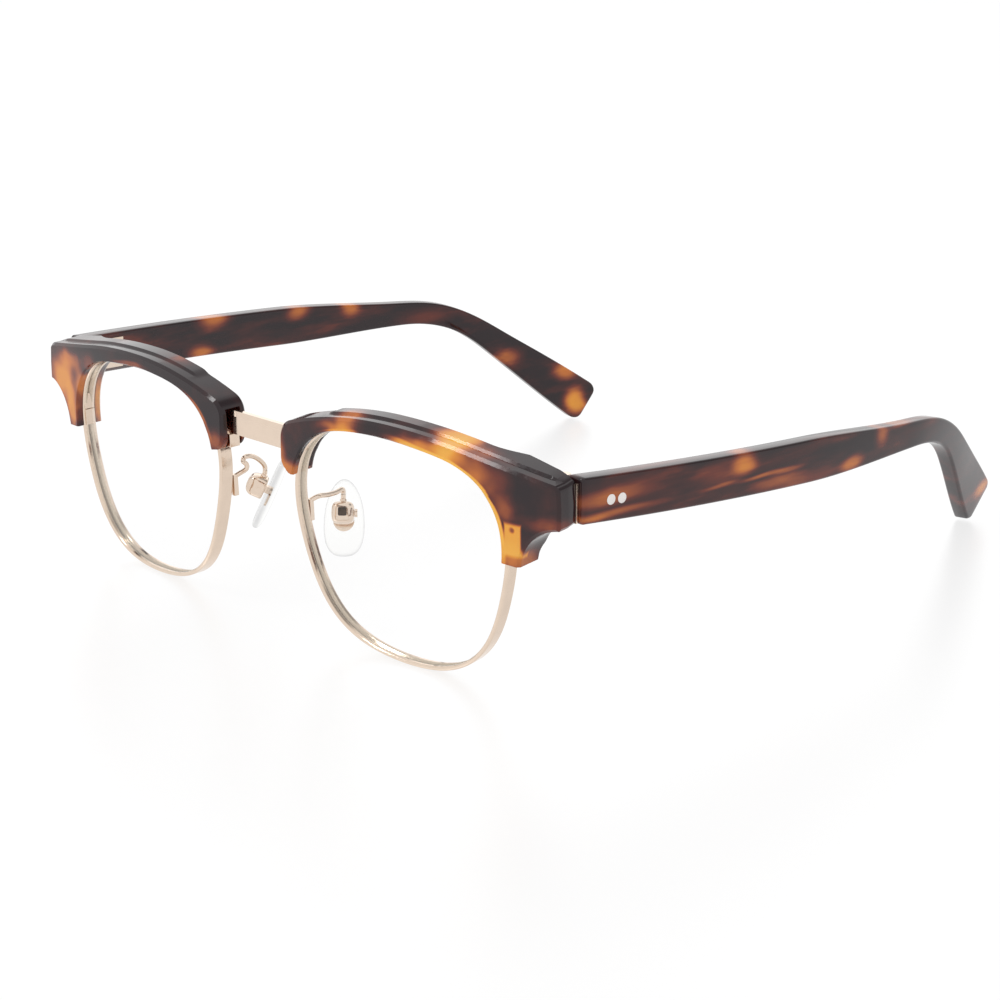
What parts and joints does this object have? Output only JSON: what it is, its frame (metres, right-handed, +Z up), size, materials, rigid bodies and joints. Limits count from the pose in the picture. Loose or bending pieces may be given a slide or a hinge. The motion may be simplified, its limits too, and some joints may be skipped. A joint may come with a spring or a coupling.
{
  "type": "browline glasses",
  "caption": "Browline glasses: metal rims and bridge under carved acetate browlines, clear lenses, silicone nose pads on wire arms, folding acetate temples.",
  "frame": {"origin": "middle of the open glasses' footprint, on the surface that the rims and temple tips stand on", "axes": "+X to the wearer's left, +Y from the front toward the temple tips, +Z up"},
  "size_m": [0.1468, 0.1502, 0.0442],
  "materials": {
    "acetate": "polished tortoiseshell acetate, dark brown with amber patches",
    "gold": "polished pale gold plating",
    "lens": "clear, polished",
    "silicone": "clear soft silicone",
    "steel": "plain"
  },
  "bodies": {
    "front": {"bridge": "gold", "brow_left": "acetate", "brow_right": "acetate", "rim_left": "gold", "rim_right": "gold", "lens_left": "lens", "lens_right": "lens", "rim_screw_left": "gold", "rim_screw_right": "gold", "pad_arm_left": "gold", "pad_arm_right": "gold", "pad_box_left": "gold", "pad_box_right": "gold", "pad_screw_left": "gold", "pad_screw_right": "gold", "front_leaf_left": "gold", "front_leaf_right": "gold", "hinge_screw_left": "gold", "hinge_screw_right": "gold"},
    "left_temple": {"temple_left": "acetate", "temple_leaf_left": "gold", "core_wire_left": "steel", "rivets_left": "gold"},
    "right_temple": {"temple_right": "acetate", "temple_leaf_right": "gold", "core_wire_right": "steel", "rivets_right": "gold"},
    "left_pad": {"nose_pad_left": "silicone", "pad_insert_left": "gold"},
    "right_pad": {"nose_pad_right": "silicone", "pad_insert_right": "gold"}
  },
  "joints": [
    {"name": "left_temple_fold", "type": "hinge", "parent": "front", "child": "left_temple", "pos_m": [0.06455, -0.06227, 0.03519], "axis": [0, 0, 1], "range_deg": [0, 87]},
    {"name": "right_temple_fold", "type": "hinge", "parent": "front", "child": "right_temple", "pos_m": [-0.06455, -0.06227, 0.03519], "axis": [0, 0, -1], "range_deg": [0, 80]},
    {"name": "left_pad_rock", "type": "hinge", "parent": "front", "child": "left_pad", "pos_m": [0.0116, -0.06357, 0.02067], "axis": [0.712, 0.7022, 0], "range_deg": [-8, 8]},
    {"name": "right_pad_rock", "type": "hinge", "parent": "front", "child": "right_pad", "pos_m": [-0.0116, -0.06357, 0.02067], "axis": [-0.712, 0.7022, 0], "range_deg": [-8, 8]}
  ]
}
